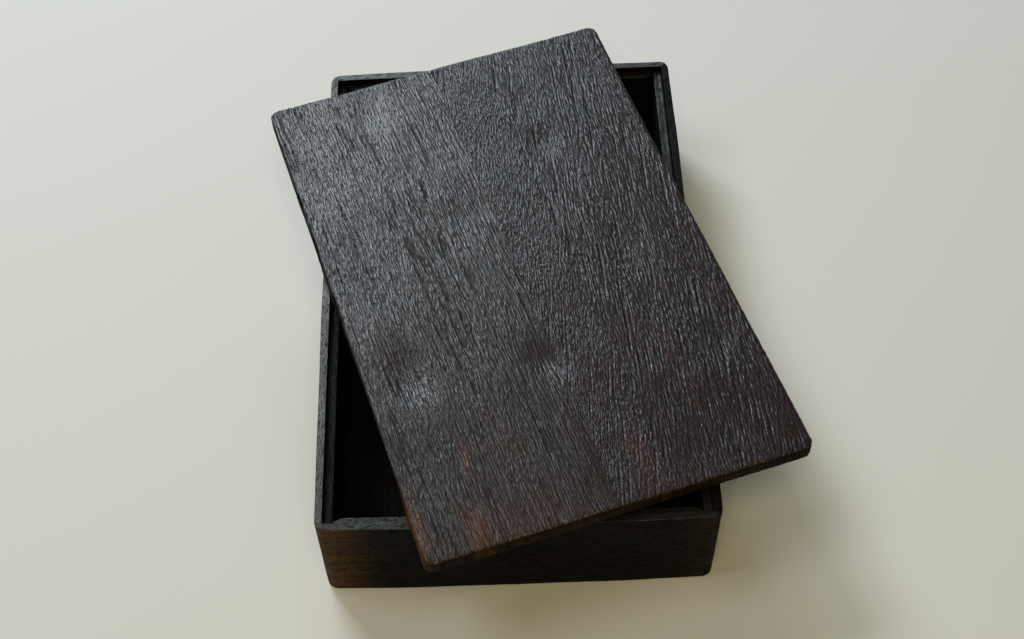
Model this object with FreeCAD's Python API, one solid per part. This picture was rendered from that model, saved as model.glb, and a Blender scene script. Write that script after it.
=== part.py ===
import FreeCAD, Part
import os

# A low box of dark wood with a loose lid, made to keep a set of shogi pieces.
# Everything is in millimetres. The origin is the centre of the box's underside, +Z is up,
# +X is to the right and -Y is the front. The box is modelled square to the axes. The lid lies
# across the rim, turned and a little to one side, the way it is put down when the box is opened.

# Box, outside
BOX_WIDTH = 130.0  # along X, from corner to corner
BOX_LENGTH = 198.0  # along Y, from corner to corner
BOX_HEIGHT = 43.0
END_CROWN = 0.8  # how far the front and back faces swell beyond their corners
SIDE_CROWN = 0.3  # the same for the two long faces
CORNER_RADIUS = 3.5  # upright outside corners
RIM_EASE = 0.5  # rounding of the outer top edge
FOOT_EASE = 1.0  # rounding of the outer bottom edge

# Walls, bottom and liners
WALL_THICKNESS = 2.8  # the rim, measured at a corner
RIM_INNER_EASE = 0.3
PANEL_THICKNESS = 4.0
PANEL_RABBET = 1.2  # how far the bottom panel reaches into each wall
PANEL_CLEARANCE = 0.2  # room for the panel to swell
LINER_THICKNESS = 3.2
LEDGE_DEPTH = 2.6  # the liners' tops below the rim
LINER_CLEARANCE = 0.1  # at each end of a liner
LINER_EASE = 0.4  # rounding of a liner's inner top edge
PARED_LENGTH = 3.2  # the end liners' inner corners are pared off over this length
PARED_DEPTH = 1.2

# Lid
LID_THICKNESS = 6.0
LID_SIDE_OVERHANG = 0.0  # beyond the box's corners along X
LID_END_OVERHANG = 1.0  # beyond the box's corners along Y
LID_CORNER_RADIUS = 3.5
LID_TOP_EASE = 1.4
LID_UNDER_EASE = 0.7
LEFT_BOARD_WIDTH = 64.0
MIDDLE_BOARD_WIDTH = 19.0
BATTEN_WIDTH = 8.0
BATTEN_CLEARANCE = 0.5  # between the battens and the inside of the rim when the lid is on
BATTEN_RELIEF = 0.2  # between the battens and the ledge when the lid is on
BATTEN_CHAMFER = 0.5  # lead-in on the battens' lower outer edges

# How the lid lies on the open box
LID_TURN = 17.0  # degrees, anticlockwise seen from above
LID_SHIFT_X = 4.2
LID_SHIFT_Y = -2.8

# Shallow hollows left by the gouge in the lid's top.
# Each has its distance from the left edge and from the back edge, its radius and its depth.
HOLLOWS = (
    (14.5, 132.0, 9.0, 0.50),
    (62.5, 140.0, 8.5, 0.60),
    (91.5, 47.0, 8.5, 0.50),
    (32.0, 14.0, 8.0, 0.35),
    (115.0, 19.0, 8.0, 0.35),
    (57.0, 74.0, 7.0, 0.30),
    (103.0, 104.0, 7.0, 0.30),
    (117.0, 150.0, 8.0, 0.40),
)

# Sizes that follow from the ones above
INSIDE_WIDTH = BOX_WIDTH - 2 * WALL_THICKNESS
INSIDE_LENGTH = BOX_LENGTH - 2 * WALL_THICKNESS
LEDGE_HEIGHT = BOX_HEIGHT - LEDGE_DEPTH
BATTEN_DEPTH = LEDGE_DEPTH - BATTEN_RELIEF
LID_WIDTH = BOX_WIDTH + 2 * LID_SIDE_OVERHANG
LID_LENGTH = BOX_LENGTH + 2 * LID_END_OVERHANG
CUT_MARGIN = 10.0  # how far cutting shapes reach past what they cut

UP = FreeCAD.Vector(0, 0, 1)


def centred_block(width, length, height, bottom=0.0):
    corner = FreeCAD.Vector(-width / 2, -length / 2, bottom)
    return Part.makeBox(width, length, height, corner)


def prism(points, bottom, height):
    """An upright solid on an outline of (x, y) points."""
    corners = [FreeCAD.Vector(x, y, bottom) for x, y in points]
    outline = Part.makePolygon(corners + corners[:1])
    return Part.Face(outline).extrude(UP * height)


def crowned_block(width, length, height, side_crown, end_crown):
    """An upright block whose four faces swell a little between their corners."""
    x, y = width / 2, length / 2
    corners = [FreeCAD.Vector(*p) for p in ((-x, -y, 0), (x, -y, 0), (x, y, 0), (-x, y, 0))]
    middles = [
        FreeCAD.Vector(0, -y - end_crown, 0),
        FreeCAD.Vector(x + side_crown, 0, 0),
        FreeCAD.Vector(0, y + end_crown, 0),
        FreeCAD.Vector(-x - side_crown, 0, 0),
    ]
    edges = []
    for index, middle in enumerate(middles):
        start, end = corners[index], corners[(index + 1) % 4]
        if (start + end).multiply(0.5).distanceToPoint(middle) > 0:
            edges.append(Part.Arc(start, middle, end).toShape())
        else:
            edges.append(Part.makeLine(start, end))
    return Part.Face(Part.Wire(edges)).extrude(UP * height)


def upright_edges(solid):
    found = []
    for edge in solid.Edges:
        box = edge.BoundBox
        if box.ZLength > 0 and box.XLength < 1e-6 and box.YLength < 1e-6:
            found.append(edge)
    return found


def edges_at_height(solid, height):
    found = []
    for edge in solid.Edges:
        box = edge.BoundBox
        if abs(box.ZMin - height) < 1e-6 and abs(box.ZMax - height) < 1e-6:
            found.append(edge)
    return found


def rounded_blank(block, height, corner_radius, top_ease, bottom_ease):
    """Round a block's upright corners, then its top and bottom outlines."""
    blank = block.makeFillet(corner_radius, upright_edges(block))
    blank = blank.makeFillet(top_ease, edges_at_height(blank, height))
    return blank.makeFillet(bottom_ease, edges_at_height(blank, 0.0))


def quarter_turn(shape, quarters):
    turned = shape.copy()
    turned.rotate(FreeCAD.Vector(0, 0, 0), UP, 90 * quarters)
    return turned


def mitre_wedge(across, along, depth):
    """The part of the plan that belongs to the wall at -Y, cut at 45 degrees at both ends."""
    outer_x, outer_y = across / 2 + CUT_MARGIN, along / 2 + CUT_MARGIN
    inner_x, inner_y = across / 2 - depth, along / 2 - depth
    points = ((-outer_x, -outer_y), (outer_x, -outer_y), (inner_x, -inner_y), (-inner_x, -inner_y))
    return prism(points, -CUT_MARGIN, BOX_HEIGHT + 2 * CUT_MARGIN)


def make_walls():
    """Four mitred boards, cut from one hollow body so that their outsides run on."""
    block = crowned_block(BOX_WIDTH, BOX_LENGTH, BOX_HEIGHT, SIDE_CROWN, END_CROWN)
    body = rounded_blank(block, BOX_HEIGHT, CORNER_RADIUS, RIM_EASE, FOOT_EASE)
    inside = centred_block(INSIDE_WIDTH, INSIDE_LENGTH, BOX_HEIGHT)
    body = body.cut(inside)
    reach = 2 * PANEL_RABBET
    body = body.cut(centred_block(INSIDE_WIDTH + reach, INSIDE_LENGTH + reach, PANEL_THICKNESS))
    rim_edges = [
        edge for edge in edges_at_height(body, BOX_HEIGHT)
        if edge.BoundBox.XMax < INSIDE_WIDTH / 2 + 1e-6 and edge.BoundBox.YMax < INSIDE_LENGTH / 2 + 1e-6
        and edge.BoundBox.XMin > -INSIDE_WIDTH / 2 - 1e-6 and edge.BoundBox.YMin > -INSIDE_LENGTH / 2 - 1e-6
    ]
    body = body.makeChamfer(RIM_INNER_EASE, rim_edges)
    depth = WALL_THICKNESS + 1.0
    front = mitre_wedge(BOX_WIDTH, BOX_LENGTH, depth)
    side = mitre_wedge(BOX_LENGTH, BOX_WIDTH, depth)
    return {
        "front_wall": body.common(front),
        "right_wall": body.common(quarter_turn(side, 1)),
        "back_wall": body.common(quarter_turn(front, 2)),
        "left_wall": body.common(quarter_turn(side, 3)),
    }


def make_bottom():
    reach = 2 * (PANEL_RABBET - PANEL_CLEARANCE)
    return {"bottom_panel": centred_block(INSIDE_WIDTH + reach, INSIDE_LENGTH + reach, PANEL_THICKNESS)}


def liner(length, distance, pared_length, pared_depth):
    """A liner against the wall at -Y, whose inside face is a distance from the box's middle."""
    back, front = -distance, -distance + LINER_THICKNESS
    x = length / 2
    points = [(-x, back), (x, back), (x, front - pared_depth), (x - pared_length, front)]
    points += [(-x + pared_length, front), (-x, front - pared_depth)]
    if pared_depth == 0:
        points = [(-x, back), (x, back), (x, front), (-x, front)]
    board = prism(points, PANEL_THICKNESS, LEDGE_HEIGHT - PANEL_THICKNESS)
    inner = [e for e in edges_at_height(board, LEDGE_HEIGHT) if e.BoundBox.YMin > front - 1e-6]
    return board.makeFillet(LINER_EASE, inner)


def make_liners():
    """The side liners run from wall to wall and the end liners fit between them."""
    side_length = INSIDE_LENGTH - 2 * LINER_CLEARANCE
    end_length = INSIDE_WIDTH - 2 * LINER_THICKNESS - 2 * LINER_CLEARANCE
    end = liner(end_length, INSIDE_LENGTH / 2, PARED_LENGTH, PARED_DEPTH)
    side = liner(side_length, INSIDE_WIDTH / 2, 0.0, 0.0)
    return {
        "front_liner": end,
        "right_liner": quarter_turn(side, 1),
        "back_liner": quarter_turn(end, 2),
        "left_liner": quarter_turn(side, 3),
    }


def gouge_hollow(from_left, from_back, radius, depth):
    """The large ball that leaves a shallow round hollow in the lid's top."""
    ball = (radius ** 2 + depth ** 2) / (2 * depth)
    centre = FreeCAD.Vector(
        from_left - LID_WIDTH / 2,
        LID_LENGTH / 2 - from_back,
        LID_THICKNESS - depth + ball,
    )
    return Part.makeSphere(ball, centre)


def make_lid_boards():
    """Three boards glued edge to edge, shaped and hollowed as one."""
    block = centred_block(LID_WIDTH, LID_LENGTH, LID_THICKNESS)
    lid = rounded_blank(block, LID_THICKNESS, LID_CORNER_RADIUS, LID_TOP_EASE, LID_UNDER_EASE)
    for hollow in HOLLOWS:
        lid = lid.cut(gouge_hollow(*hollow))
    boards = {}
    start = -LID_WIDTH / 2
    right_board_width = LID_WIDTH - LEFT_BOARD_WIDTH - MIDDLE_BOARD_WIDTH
    widths = (LEFT_BOARD_WIDTH, MIDDLE_BOARD_WIDTH, right_board_width)
    for name, width in zip(("left", "middle", "right"), widths):
        corner = FreeCAD.Vector(start, -LID_LENGTH / 2 - CUT_MARGIN, -CUT_MARGIN)
        slab = Part.makeBox(
            width, LID_LENGTH + 2 * CUT_MARGIN, LID_THICKNESS + 2 * CUT_MARGIN, corner)
        boards["lid_%s_board" % name] = lid.common(slab)
        start += width
    return boards


def batten(length, distance):
    """A batten under the lid at -Y, with its outer face a distance from the lid's middle."""
    bar = Part.makeBox(
        length, BATTEN_WIDTH, BATTEN_DEPTH,
        FreeCAD.Vector(-length / 2, -distance, -BATTEN_DEPTH))
    lower_outer = [
        edge for edge in edges_at_height(bar, -BATTEN_DEPTH)
        if edge.BoundBox.YMax < -distance + 1e-6
    ]
    return bar.makeChamfer(BATTEN_CHAMFER, lower_outer)


def make_battens():
    """The end battens run across the lid and the side battens fit between them."""
    half_width = INSIDE_WIDTH / 2 - BATTEN_CLEARANCE
    half_length = INSIDE_LENGTH / 2 - BATTEN_CLEARANCE
    end = batten(2 * half_width, half_length)
    side = batten(2 * (half_length - BATTEN_WIDTH), half_width)
    return {
        "lid_front_batten": end,
        "lid_right_batten": quarter_turn(side, 1),
        "lid_back_batten": quarter_turn(end, 2),
        "lid_left_batten": quarter_turn(side, 3),
    }


def lay_lid_across(pieces):
    """Turn the lid and set it down with its battens on the rim."""
    place = FreeCAD.Vector(LID_SHIFT_X, LID_SHIFT_Y, BOX_HEIGHT + BATTEN_DEPTH)
    laid = {}
    for name, shape in pieces.items():
        moved = shape.copy()
        moved.rotate(FreeCAD.Vector(0, 0, 0), UP, LID_TURN)
        moved.translate(place)
        laid[name] = moved
    return laid


def main():
    pieces = {}
    pieces.update(make_walls())
    pieces.update(make_bottom())
    pieces.update(make_liners())
    pieces.update(lay_lid_across(make_lid_boards()))
    pieces.update(lay_lid_across(make_battens()))
    os.makedirs("parts", exist_ok=True)
    for name, shape in pieces.items():
        solid = shape.Solids[0]
        print(name, "volume", round(solid.Volume, 1), "solids", len(shape.Solids), solid.isValid())
        solid.exportStep("parts/%s.step" % name)


main()
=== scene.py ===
# %% [markdown]
# # A dark wooden box for shogi pieces
#
# The box is a low tray of four mitred boards with a second ring of thin boards inside it, which make a
# ledge just below the rim. Its lid is glued up from three boards, hollowed a little with a gouge and
# brushed until the grain stands up, then stained and wiped with lacquer. It lies askew on the open box.
#
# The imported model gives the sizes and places. Everything visible is rebuilt here with the detail that
# a solid model leaves out: worn edges, raised grain, pores and glue lines.

# %% load the frame
import math

import bmesh
import bpy
import numpy as np
from mathutils import Matrix, Vector


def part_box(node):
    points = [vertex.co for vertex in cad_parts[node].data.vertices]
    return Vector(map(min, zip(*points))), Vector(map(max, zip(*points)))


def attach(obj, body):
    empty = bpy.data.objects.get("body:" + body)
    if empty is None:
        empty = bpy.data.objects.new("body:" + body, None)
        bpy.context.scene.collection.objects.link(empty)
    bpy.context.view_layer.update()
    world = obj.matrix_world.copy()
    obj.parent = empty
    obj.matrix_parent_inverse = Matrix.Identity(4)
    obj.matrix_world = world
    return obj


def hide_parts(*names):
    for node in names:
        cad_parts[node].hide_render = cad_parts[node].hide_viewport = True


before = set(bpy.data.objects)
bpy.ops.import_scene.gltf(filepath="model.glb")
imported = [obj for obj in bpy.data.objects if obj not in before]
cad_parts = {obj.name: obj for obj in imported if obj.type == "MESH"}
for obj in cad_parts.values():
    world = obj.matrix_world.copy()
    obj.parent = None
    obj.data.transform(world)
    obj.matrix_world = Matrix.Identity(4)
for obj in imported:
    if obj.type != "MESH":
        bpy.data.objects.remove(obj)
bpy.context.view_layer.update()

# %% [markdown]
# ## Sizes
#
# Blender works in metres, and the maker's sizes are easier to read in millimetres, so every size below
# is written in millimetres and turned once. What the model already knows is read from it: the lid's
# centre is the middle of the box around its boards, whatever way they are turned. The thickness of the
# two rings of boards and the lid's length and turn are written here, since a box around them hides those.

# %% sizes
MM = 0.001
HAIR = 0.01  # a length too small to matter
WALL_THICKNESS = 2.8
LINER_THICKNESS = 3.2
LID_LENGTH = 200.0
LID_TURN_DEGREES = 17.0

WALLS = ("front_wall", "right_wall", "back_wall", "left_wall")
LINERS = ("front_liner", "right_liner", "back_liner", "left_liner")
LID_BOARDS = ("lid_left_board", "lid_middle_board", "lid_right_board")


def span(*nodes):
    """The box around some nodes of the model, in millimetres."""
    lows = np.array([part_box(node)[0] for node in nodes])
    highs = np.array([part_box(node)[1] for node in nodes])
    return lows.min(axis=0) / MM, highs.max(axis=0) / MM


liner_high = span(*LINERS)[1]
wall_high = span(*WALLS)[1]
lid_low, lid_high = span(*LID_BOARDS)
INSIDE_HALF = liner_high[:2]
BOX_HALF = INSIDE_HALF + WALL_THICKNESS
CROWNS = wall_high[:2] - BOX_HALF
BOX_HEIGHT = wall_high[2]
LEDGE_HEIGHT = liner_high[2]
PANEL_TOP = span("bottom_panel")[1][2]
LID_HALF = np.array([BOX_HALF[0], LID_LENGTH / 2])
LID_CENTRE = (lid_low + lid_high) / 2
LID_TURN = math.radians(LID_TURN_DEGREES)
LID_UNDER = lid_low[2]
LID_THICKNESS = lid_high[2] - lid_low[2]
print("inside", INSIDE_HALF * 2, "crowns", CROWNS, "lid centre", LID_CENTRE, "thick", LID_THICKNESS)

# %% [markdown]
# ## Colours and nodes
#
# A colour is written as it looks on a screen, and Blender's shaders count light, so one function turns
# the first into the second. Another adds a node to any node tree: its settings, then its sockets. A
# value that is a node or another node's socket becomes a link, so a tree reads like a sum.

# %% colours and nodes


def hex_colour(text):
    """An sRGB hex colour as the linear values that shaders use."""
    channels = [int(text[i:i + 2], 16) / 255 for i in (1, 3, 5)]
    linear = [c / 12.92 if c <= 0.04045 else ((c + 0.055) / 1.055) ** 2.4 for c in channels]
    return (*linear, 1.0)


def add_node(tree, kind, settings=None, inputs=None):
    """A new node in a tree. For a socket, a node stands for its first output."""
    node = tree.nodes.new(kind)
    for name, value in (settings or {}).items():
        setattr(node, name, value)
    for name, value in (inputs or {}).items():
        if isinstance(value, bpy.types.Node):
            value = value.outputs[0]
        if isinstance(value, bpy.types.NodeSocket):
            tree.links.new(value, node.inputs[name])
        else:
            node.inputs[name].default_value = value
    return node


# Settings that several nodes share.
ADD = {"operation": "ADD"}
SUBTRACT = {"operation": "SUBTRACT"}
MULTIPLY = {"operation": "MULTIPLY"}
DIVIDE = {"operation": "DIVIDE"}
SMOOTH = {"interpolation_type": "SMOOTHSTEP"}
print("mid grey is", round(hex_colour("#808080")[0], 3), "of the light that white gives")

# %% [markdown]
# ## A mesh from points
#
# Each point of a mesh made here carries two directions of its own. "outward" is the way that the
# surface faces, and is nothing where the surface isn't worked, such as a glued joint. "grain" is the
# place on the board as a woodworker would measure it: millimetres across the grain, millimetres along
# it, and a number that makes each board different. Patterns that use it follow the board round its
# edges. "warm" says how far the stain has worn through to brown wood, and at the front wall's left
# end it also carries painted light.

# %% a mesh from points
SHARP_ANGLE = math.radians(50)


def make_piece(name, points, faces, outward, grain, warm):
    """A closed mesh object from points in millimetres, with its attributes and its faces outwards."""
    mesh = bpy.data.meshes.new(name)
    mesh.from_pydata(points.tolist(), [], faces)
    for label, values in {"outward": outward, "grain": grain}.items():
        attribute = mesh.attributes.new(label, "FLOAT_VECTOR", "POINT")
        attribute.data.foreach_set("vector", np.ascontiguousarray(values, dtype=np.float32).ravel())
    attribute = mesh.attributes.new("warm", "FLOAT", "POINT")
    attribute.data.foreach_set("value", np.ascontiguousarray(warm, dtype=np.float32).ravel())
    shape = bmesh.new()
    shape.from_mesh(mesh)
    bmesh.ops.recalc_face_normals(shape, faces=shape.faces)
    shape.to_mesh(mesh)
    shape.free()
    mesh.transform(Matrix.Scale(MM, 4))
    mesh.shade_smooth()
    mesh.set_sharp_from_angle(angle=SHARP_ANGLE)
    piece = bpy.data.objects.new(name, mesh)
    bpy.context.scene.collection.objects.link(piece)
    return piece


print("edges sharper than", round(math.degrees(SHARP_ANGLE)), "degrees stay crisp")

# %% [markdown]
# ## The camera
#
# The photograph was taken from the front, a little to the left, looking down at about 56 degrees. The
# lens and the small tilt were worked out from the box's and the lid's straight edges. The photograph
# is a crop, so the lens's middle isn't the picture's middle, which the camera's shift follows.

# %% camera
PICTURE_WIDTH = 1024
PICTURE_HEIGHT = 639
LENS_MIDDLE = (450, 350)
SENSOR_WIDTH = 36.0


def place_camera(target, distance, azimuth, elevation, roll, lens):
    """A camera that looks at a target point from a distance in millimetres. Azimuth 0 looks along +Y."""
    level = math.cos(elevation)
    forward = Vector((math.sin(azimuth) * level, math.cos(azimuth) * level, -math.sin(elevation)))
    side = Vector((math.cos(azimuth), -math.sin(azimuth), 0))
    up = side.cross(forward)
    side_rolled = side * math.cos(roll) + up * math.sin(roll)
    up_rolled = up * math.cos(roll) - side * math.sin(roll)
    data = bpy.data.cameras.new("camera")
    data.lens = lens
    data.sensor_width = SENSOR_WIDTH
    data.sensor_fit = "HORIZONTAL"
    data.shift_x = (PICTURE_WIDTH / 2 - LENS_MIDDLE[0]) / PICTURE_WIDTH
    data.shift_y = (LENS_MIDDLE[1] - PICTURE_HEIGHT / 2) / PICTURE_WIDTH
    data.clip_start = 0.01
    camera = bpy.data.objects.new("camera", data)
    turned = Matrix((side_rolled, up_rolled, -forward)).transposed().to_4x4()
    camera.matrix_world = Matrix.Translation((Vector(target) - forward * distance) * MM) @ turned
    bpy.context.scene.collection.objects.link(camera)
    return camera


camera = place_camera(
    target=(-22.43, -2.51, 0.0), distance=585.9, azimuth=math.radians(-3.654),
    elevation=math.radians(55.868), roll=math.radians(-5.239), lens=55.12)
bpy.context.scene.camera = camera
bpy.context.scene.view_settings.view_transform = "Standard"
print("camera at", [round(v, 3) for v in camera.location])

# %% [markdown]
# ## The floor
#
# The box stands on pale canvas by a window. A plain pale floor stands in for the cloth. Further off,
# where no lamp reaches, the camera sees the floor in the plain colour of the surroundings, so that the
# background stays pale from every side while no extra light falls on the box.

# %% floor
FLOOR_SIZE = 12.0  # metres
FLOOR_FADE = (0.28, 0.80)  # metres from the box's middle, from all lit floor to all plain colour
BACKGROUND = "#cfcfc8"


def plain_floor():
    bpy.ops.mesh.primitive_plane_add(size=FLOOR_SIZE)
    floor = bpy.context.object
    floor.name = "floor"
    material = bpy.data.materials.new("pale canvas, plain")
    material.use_nodes = True
    tree = material.node_tree
    # Undyed cotton is matt and scatters the light evenly, so it has hardly any shine of its own.
    shader = tree.nodes["Principled BSDF"]
    shader.inputs["Base Color"].default_value = hex_colour("#d7d2d1")
    shader.inputs["Roughness"].default_value = 0.9
    shader.inputs["Specular IOR Level"].default_value = 0.1
    place = add_node(tree, "ShaderNodeTexCoord").outputs["Object"]
    away = add_node(tree, "ShaderNodeVectorMath", {"operation": "LENGTH"}, {0: place}).outputs["Value"]
    far = add_node(tree, "ShaderNodeMapRange", SMOOTH, {
        "Value": away, "From Min": FLOOR_FADE[0], "From Max": FLOOR_FADE[1]})
    seen = add_node(tree, "ShaderNodeLightPath").outputs["Is Camera Ray"]
    share = add_node(tree, "ShaderNodeMath", MULTIPLY, {0: far, 1: seen})
    plain = add_node(tree, "ShaderNodeEmission", None, {"Color": hex_colour(BACKGROUND), "Strength": 1.0})
    mix = add_node(tree, "ShaderNodeMixShader", None, {0: share, 1: shader, 2: plain})
    tree.links.new(mix.outputs[0], tree.nodes["Material Output"].inputs["Surface"])
    floor.data.materials.append(material)
    return floor


floor = plain_floor()
print(floor.name, [round(v, 1) for v in floor.dimensions], "metres")

# %% [markdown]
# ## The light
#
# One large soft lamp is the window, at the back and to the left. A lower pane skims the lid from behind,
# so that every hollow and ridge shows a light side. The other two are the pale wall on the left and the
# warm room in front, and a dim pale surrounding fills what is left of the shadows. The camera sees that
# surrounding in a plain pale colour, which gives a bright background and no more light on the box.

# %% lamps
LAMP_DISTANCE = 1.5  # metres
LAMPS = (
    # name, degrees left of straight back, degrees up, width and height in metres, watts, colour
    ("window", 30, 45, (0.50, 0.45), 13.0, "#ebf8ff"),
    ("window, lower pane", 5, 28, (0.45, 0.40), 6.2, "#d2f2ff"),
    ("pale wall on the left", 90, 65, (0.60, 0.60), 4.6, "#f8fbf6"),
    ("warm room", 180, 62, (0.60, 0.60), 7.0, "#fff3b8"),
)


def soft_lamp(name, azimuth, elevation, distance, size, power, colour):
    """A soft rectangular lamp, seen from the box at an azimuth left of straight back."""
    data = bpy.data.lights.new(name, "AREA")
    data.shape = "RECTANGLE"
    data.size, data.size_y = size
    data.energy = power
    data.color = hex_colour(colour)[:3]
    lamp = bpy.data.objects.new(name, data)
    level = math.cos(elevation)
    away = Vector((-math.sin(azimuth) * level, math.cos(azimuth) * level, math.sin(elevation)))
    lamp.location = away * distance
    lamp.rotation_euler = away.to_track_quat("Z", "Y").to_euler()
    bpy.context.scene.collection.objects.link(lamp)


for name, azimuth, elevation, size, power, colour in LAMPS:
    soft_lamp(name, math.radians(azimuth), math.radians(elevation), LAMP_DISTANCE, size, power, colour)
print("lamps", [row[0] for row in LAMPS])

# %% surroundings
ROOM_LIGHT = 0.03
ROOM_COLOUR = "#f2efe8"

world = bpy.data.worlds.new("pale room")
world.use_nodes = True
tree = world.node_tree
tree.nodes.clear()
for_camera = add_node(tree, "ShaderNodeLightPath").outputs["Is Camera Ray"]
fill = add_node(tree, "ShaderNodeBackground", None, {
    "Color": hex_colour(ROOM_COLOUR), "Strength": ROOM_LIGHT})
seen = add_node(tree, "ShaderNodeBackground", None, {
    "Color": hex_colour(BACKGROUND), "Strength": 1.0})
mix = add_node(tree, "ShaderNodeMixShader", None, {0: for_camera, 1: fill, 2: seen})
add_node(tree, "ShaderNodeOutputWorld", None, {"Surface": mix})
bpy.context.scene.world = world
print("world", world.name)

# %% [markdown]
# ## Sections of the boards
#
# A wall is one section drawn along one line, as a moulding is. The section gives the worn foot, the
# eased rim and the rabbet for the bottom. Its edges are small arcs, because hands and a plane have
# rounded them, and a sharp edge would catch no light.

# %% board sections
RIM_EASE = 0.5
RIM_INNER_EASE = 0.3
FOOT_EASE = 1.0
LINER_EASE = 0.45
PANEL_RABBET = 1.2
EASE_STEPS = 5
WALL_ROW = 0.45  # the height of a row of faces
FLAT_POINTS = 7
RECESS_POINTS = 6
LINER_POINTS = 40


def quarter_round(radius, start, end):
    """Points of a rounded edge from one end of the turn to the other, in quarters of a circle."""
    angles = np.linspace(start, end, EASE_STEPS + 1) * math.pi / 2
    return np.stack([radius * np.cos(angles), radius * np.sin(angles)], axis=1)


def wall_section():
    """Closed (depth, height) outline of a wall, from its foot up the outside and down the inside."""
    thick, top = WALL_THICKNESS, BOX_HEIGHT
    foot = quarter_round(FOOT_EASE, 3, 2) + (FOOT_EASE, FOOT_EASE)
    rim = quarter_round(RIM_EASE, 2, 1) + (RIM_EASE, top - RIM_EASE)
    inner = quarter_round(RIM_INNER_EASE, 1, 0) + (thick - RIM_INNER_EASE, top - RIM_INNER_EASE)
    rows = round((top - FOOT_EASE - RIM_EASE) / WALL_ROW)
    outside = [(0.0, z) for z in np.linspace(FOOT_EASE, top - RIM_EASE, rows)[1:-1]]
    flat = [(d, top) for d in np.linspace(RIM_EASE, thick - RIM_INNER_EASE, FLAT_POINTS)[1:-1]]
    inside = [(thick, z) for z in np.linspace(top - RIM_INNER_EASE, LEDGE_HEIGHT, RECESS_POINTS)[1:]]
    rabbet = [(thick, PANEL_TOP), (thick - PANEL_RABBET, PANEL_TOP), (thick - PANEL_RABBET, 0.0)]
    return np.array([*foot, *outside, *rim, *flat, *inner, *inside, *rabbet])


def liner_section():
    """Closed (depth, height) outline of a liner: the ledge on top and its face down to the bottom."""
    ease, thick = LINER_EASE, LINER_THICKNESS
    edge = quarter_round(ease, 1, 0) + (thick - ease, LEDGE_HEIGHT - ease)
    flat = [(d, LEDGE_HEIGHT) for d in np.linspace(0.0, thick - ease, FLAT_POINTS)[:-1]]
    inside = [(thick, z) for z in np.linspace(LEDGE_HEIGHT - ease, PANEL_TOP, LINER_POINTS)[1:]]
    return np.array([*flat, *edge, *inside, (0.0, PANEL_TOP)])


print("points in a section: wall", len(wall_section()), "liner", len(liner_section()))

# %% [markdown]
# ## Drawing a section along a board
#
# Every board has an outer and an inner line in plan. A section's depth is a share of the way from one
# to the other, so that where the outer line turns the rounded corner and the inner line doesn't, the
# section stretches to fit, and the two walls at a corner end on the same slanting plane, the mitre.
# Each board is drawn as the front one and then turned to its side of the box. A cube with a bevel
# would be quicker, but it can't swell between its ends or carry the grain's own measures.

# %% faces of a drawn section


def section_facing(section):
    """Which way a closed section faces at each of its points."""
    run = np.roll(section, -1, axis=0) - np.roll(section, 1, axis=0)
    facing = np.stack([-run[:, 1], run[:, 0]], axis=1)
    return facing / np.linalg.norm(facing, axis=1, keepdims=True)


def section_faces(stations, around):
    """Four-sided faces between neighbouring stations, and one face at each end."""
    faces = []
    for i in range(stations - 1):
        for j in range(around):
            k = (j + 1) % around
            faces.append((i * around + j, i * around + k, (i + 1) * around + k, (i + 1) * around + j))
    faces.append(tuple(range(around)))
    faces.append(tuple((stations - 1) * around + j for j in range(around)))
    return faces


print("a box drawn between two stations has", len(section_faces(2, 4)), "faces")

# %% draw a section
# At the front wall's left end this brown also stands for painted light from the floor beside it.
WORN_END = 13.0  # how far from a corner the stain has worn thin


def sweep_section(name, outer_line, inner_line, section, worked, turn, seed, worn_and_lit_ends):
    """Draw a section along a pair of plan lines for the side at -Y, then turn it to its side.

    worked says for each point of the section whether its surface is worked by hand. worn_and_lit_ends
    says how far each end is brown: stain worn to brown wood, and at the front wall's left end painted
    light as well."""
    share = (section[:, 0] / section[:, 0].max())[None, :, None]
    plan = outer_line[:, None, :] * (1 - share) + inner_line[:, None, :] * share
    stations, around = plan.shape[:2]
    heights = np.broadcast_to(section[:, 1], (stations, around))

    facing = section_facing(section)
    across_board = inner_line - outer_line
    across_board = across_board / np.linalg.norm(across_board, axis=1, keepdims=True)
    outward = across_board[:, None, :] * facing[None, :, 0, None]
    lift = np.broadcast_to(facing[:, 1], (stations, around))
    outward = np.concatenate([outward, lift[..., None]], axis=-1) * worked[None, :, None]

    along = np.broadcast_to(outer_line[:, 0][:, None], (stations, around))
    girth = np.concatenate([[0.0], np.cumsum(np.linalg.norm(np.diff(section, axis=0), axis=1))])
    girth = np.broadcast_to(girth, (stations, around))
    grain = np.stack([girth, along, np.full_like(along, seed)], axis=-1)
    to_ends = np.stack([along - along.min(), along.max() - along]) / WORN_END
    warm = (np.exp(-to_ends ** 2) * np.array(worn_and_lit_ends)[:, None, None]).sum(axis=0)

    cos, sin = math.cos(turn), math.sin(turn)
    spin = np.array([[cos, -sin], [sin, cos]])
    points = np.concatenate([plan @ spin.T, heights[..., None]], axis=-1)
    outward = np.concatenate([outward[..., :2] @ spin.T, outward[..., 2:]], axis=-1)
    return make_piece(
        name, points.reshape(-1, 3), section_faces(stations, around), outward.reshape(-1, 3),
        grain.reshape(-1, 3), warm.reshape(-1))


print("at a corner the stain is worn for", WORN_END, "mm")

# %% [markdown]
# ## The four walls
#
# Each wall swells a little between its corners, because it was shaped by hand with a plane. The outer
# line runs along the swell and then round the first half of each corner. Hands wear a box at its
# corners first, and most at the front, so each wall has its own wear at its two ends. The front wall's
# left end is brownest: worn stain, and painted light that stands for the glow of the sunlit floor beside
# it.

# %% walls
CORNER_RADIUS = 3.5
STATION_STEP = 1.2
WALL_SEED = 50.0
SEED_STEP = 9.0
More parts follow.
